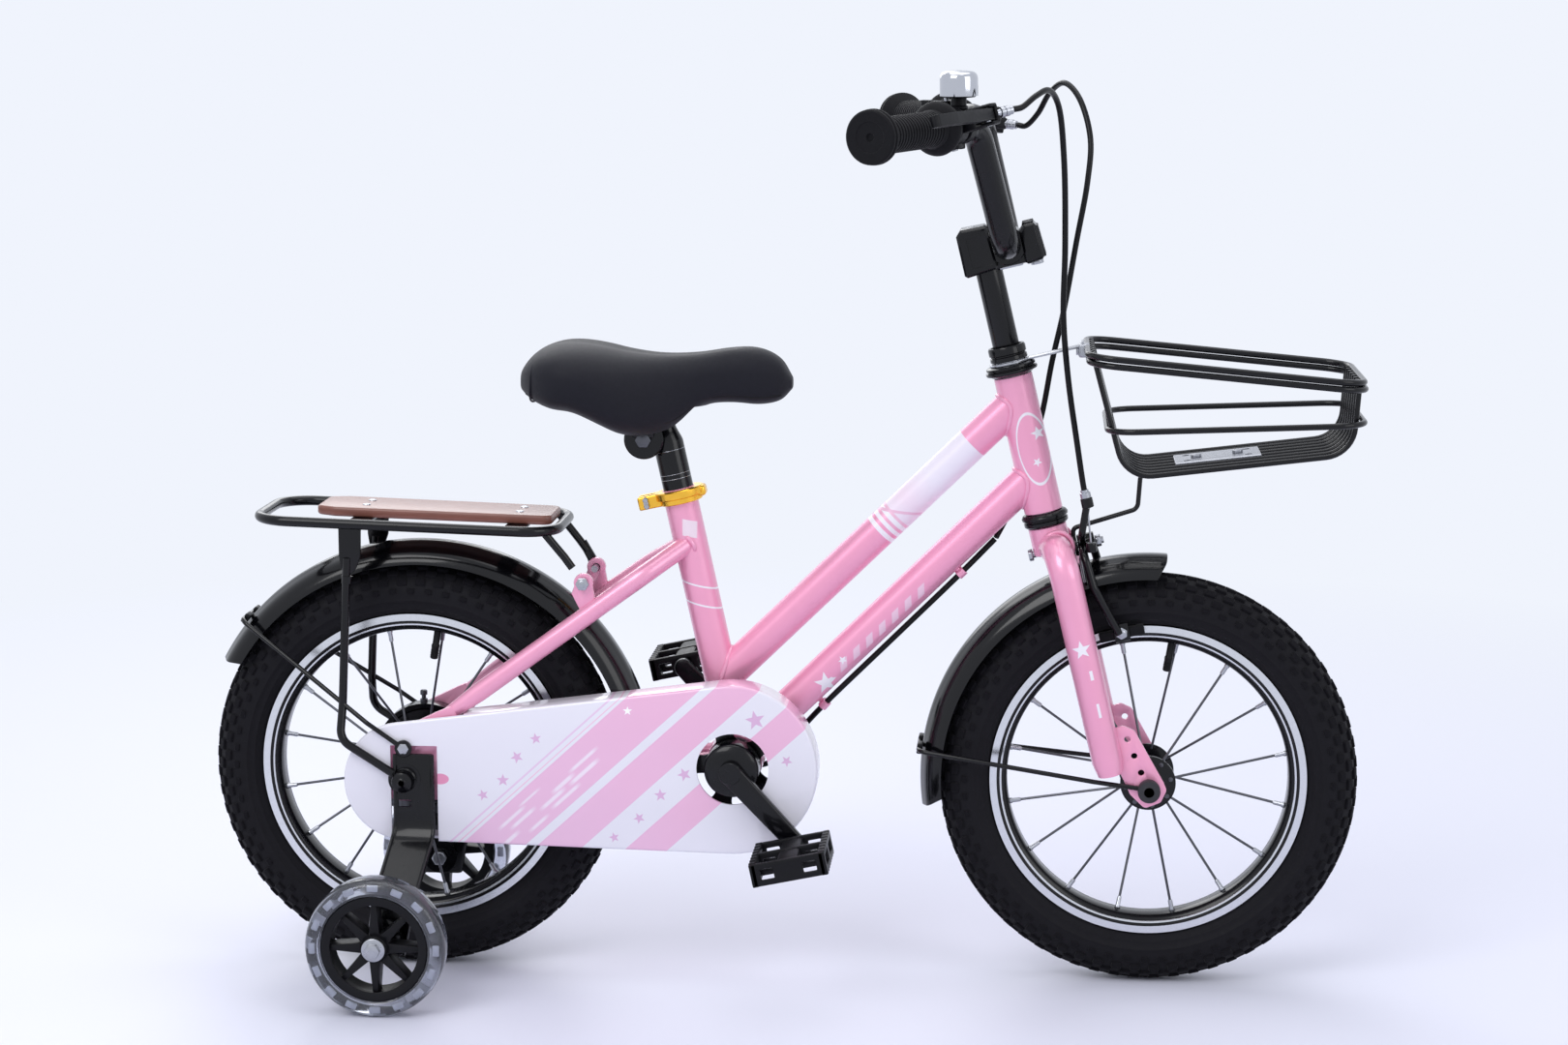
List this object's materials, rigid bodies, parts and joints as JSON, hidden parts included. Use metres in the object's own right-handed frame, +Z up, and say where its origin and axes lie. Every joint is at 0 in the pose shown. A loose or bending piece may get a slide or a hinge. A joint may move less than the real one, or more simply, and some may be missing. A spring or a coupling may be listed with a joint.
{
  "type": "kids bike with training wheels",
  "caption": "Child's bicycle with 14 inch wheels, step-through twin-tube frame, wire basket, rear rack, chain guard, hand brakes, bell and bolt-on training wheels",
  "frame": {"origin": "on the ground midway between the two wheel axles, in the middle of the width", "axes": "+X points forward to the front wheel, +Y to the rider's left, +Z up"},
  "size_m": [0.9686, 0.4982, 0.7617],
  "materials": {
    "pink_paint": "glossy metallic pearl",
    "black_paint": "satin to gloss paint",
    "bare_steel": "zinc plated",
    "gold_anodised": "gold anodised, polished",
    "saddle_cover": "matte synthetic cover",
    "tyre_rubber": "matte, knobbly",
    "rim_alloy": "machined bands on black",
    "black_plastic": "moulded",
    "gloss_black_plastic": "smooth gloss",
    "white_plastic": "white with plain pink stripes and stars",
    "board_wood": "stained board",
    "clear_tyre": "clear moulding with pale inserts",
    "grip_rubber": "matte, ribbed",
    "bell_chrome": "polished",
    "cable_sheath": "smooth sheath"
  },
  "bodies": {
    "frame_body": {"frame": "pink_paint", "headset_upper_cup": "black_paint", "headset_lower_cup": "black_paint", "bottom_bracket": "bare_steel", "seat_clamp": "gold_anodised", "chain_guard": "white_plastic", "chain": "bare_steel", "rear_fender": "gloss_black_plastic", "rear_fender_stay": "black_paint", "rear_rack": "black_paint", "rack_board": "board_wood", "training_bracket_right": "black_paint", "training_bracket_left": "black_paint", "rear_axle": "bare_steel", "band_brake_cover": "black_paint", "rear_brake_cable": "cable_sheath"},
    "steering_body": {"fork": "pink_paint", "headset_locknut": "black_paint", "stem": "black_paint", "handlebar": "black_paint", "grip_right": "grip_rubber", "grip_left": "grip_rubber", "lever_mount_right": "black_plastic", "lever_mount_left": "black_plastic", "bell": "bell_chrome", "basket": "black_paint", "basket_strap": "bare_steel", "basket_strut": "black_paint", "front_fender": "gloss_black_plastic", "front_fender_stay": "black_paint", "front_axle": "bare_steel", "brake_bolt": "bare_steel", "front_brake_cable": "cable_sheath", "rear_brake_cable_loop": "cable_sheath"},
    "front_wheel": {"front_tyre": "tyre_rubber", "front_rim": "rim_alloy", "front_hub": "black_paint"},
    "rear_wheel": {"rear_tyre": "tyre_rubber", "rear_rim": "rim_alloy", "rear_hub": "black_paint"},
    "crank_set": {"crank": "black_paint", "chainring": "bare_steel"},
    "sprocket_body": {"rear_sprocket": "bare_steel"},
    "pedal_right_body": {"pedal_right": "black_plastic"},
    "pedal_left_body": {"pedal_left": "black_plastic"},
    "training_wheel_right": {"training_tyre_right": "clear_tyre", "training_hub_right": "black_plastic"},
    "training_wheel_left": {"training_tyre_left": "clear_tyre", "training_hub_left": "black_plastic"},
    "seat_post_body": {"seat_post": "black_paint"},
    "saddle_body": {"saddle": "saddle_cover", "saddle_clamp": "black_paint"},
    "right_lever_body": {"brake_lever_right": "black_plastic"},
    "left_lever_body": {"brake_lever_left": "black_plastic"},
    "bell_thumb_body": {"bell_thumb": "black_plastic"},
    "right_caliper_body": {"caliper_arm_right": "black_paint", "brake_pad_right": "grip_rubber"},
    "left_caliper_body": {"caliper_arm_left": "black_paint", "brake_pad_left": "grip_rubber"},
    "band_brake_body": {"band_brake_arm": "bare_steel"}
  },
  "joints": [
    {"name": "steering_turn", "type": "hinge", "parent": "frame_body", "child": "steering_body", "pos_m": [0.21971, 0, 0.39821], "axis": [-0.2317, 0, 0.9728], "range_deg": [-45, 45], "deforming": ["rear_brake_cable_loop"]},
    {"name": "front_wheel_spin", "type": "hinge", "parent": "steering_body", "child": "front_wheel", "pos_m": [0.309, 0, 0.174], "axis": [0, 1, 0], "continuous": true},
    {"name": "rear_wheel_spin", "type": "hinge", "parent": "frame_body", "child": "rear_wheel", "pos_m": [-0.309, 0, 0.174], "axis": [0, 1, 0], "continuous": true},
    {"name": "crank_turn", "type": "hinge", "parent": "frame_body", "child": "crank_set", "pos_m": [-0.035, 0, 0.187], "axis": [0, 1, 0], "continuous": true},
    {"name": "sprocket_turn", "type": "hinge", "parent": "frame_body", "child": "sprocket_body", "pos_m": [-0.309, 0, 0.174], "axis": [0, 1, 0], "continuous": true},
    {"name": "pedal_right_turn", "type": "hinge", "parent": "crank_set", "child": "pedal_right_body", "pos_m": [0.01956, -0.117, 0.12849], "axis": [0, 1, 0], "continuous": true},
    {"name": "pedal_left_turn", "type": "hinge", "parent": "crank_set", "child": "pedal_left_body", "pos_m": [-0.08956, 0.117, 0.24551], "axis": [0, 1, 0], "continuous": true},
    {"name": "training_wheel_right_spin", "type": "hinge", "parent": "frame_body", "child": "training_wheel_right", "pos_m": [-0.316, -0.152, 0.0575], "axis": [0, 1, 0], "continuous": true},
    {"name": "training_wheel_left_spin", "type": "hinge", "parent": "frame_body", "child": "training_wheel_left", "pos_m": [-0.316, 0.152, 0.0575], "axis": [0, 1, 0], "continuous": true},
    {"name": "seat_height", "type": "slide", "parent": "frame_body", "child": "seat_post_body", "axis": [-0.2147, 0, 0.9767], "range_m": [-0.025, 0.04]},
    {"name": "saddle_tilt", "type": "hinge", "parent": "seat_post_body", "child": "saddle_body", "pos_m": [-0.112, 0, 0.456], "axis": [0, 1, 0], "range_deg": [-5, 5]},
    {"name": "brake_lever_right_pull", "type": "hinge", "parent": "steering_body", "child": "right_lever_body", "pos_m": [0.17189, -0.1411, 0.72781], "axis": [0.2609, -0.0931, -0.9609], "range_deg": [0, 10], "stiffness_Nm_per_rad": 0.4},
    {"name": "brake_lever_left_pull", "type": "hinge", "parent": "steering_body", "child": "left_lever_body", "pos_m": [0.17291, 0.14111, 0.7127], "axis": [0.1294, 0.0922, 0.9873], "range_deg": [0, 10], "stiffness_Nm_per_rad": 0.4},
    {"name": "bell_thumb_flick", "type": "hinge", "parent": "steering_body", "child": "bell_thumb_body", "pos_m": [0.13954, -0.10507, 0.7367], "axis": [-0.0121, -0.0257, 0.9996], "range_deg": [0, 25], "stiffness_Nm_per_rad": 0.02},
    {"name": "caliper_right_close", "type": "hinge", "parent": "steering_body", "child": "right_caliper_body", "pos_m": [0.25191, 0, 0.37093], "axis": [0.9728, 0, 0.2317], "range_deg": [0, 1.7]},
    {"name": "caliper_left_close", "type": "hinge", "parent": "steering_body", "child": "left_caliper_body", "pos_m": [0.25872, 0, 0.37255], "axis": [-0.9728, 0, -0.2317], "range_deg": [0, 1.7]},
    {"name": "band_brake_close", "type": "hinge", "parent": "frame_body", "child": "band_brake_body", "pos_m": [-0.301, 0.0515, 0.138], "axis": [0, -1, 0], "range_deg": [0, 12]}
  ],
  "couplings": [
    {"joint": "sprocket_turn", "follows": "crank_turn", "ratio": 2},
    {"joint": "caliper_right_close", "follows": "brake_lever_right_pull", "ratio": 0.16},
    {"joint": "caliper_left_close", "follows": "brake_lever_right_pull", "ratio": 0.16},
    {"joint": "band_brake_close", "follows": "brake_lever_left_pull", "ratio": 1}
  ]
}
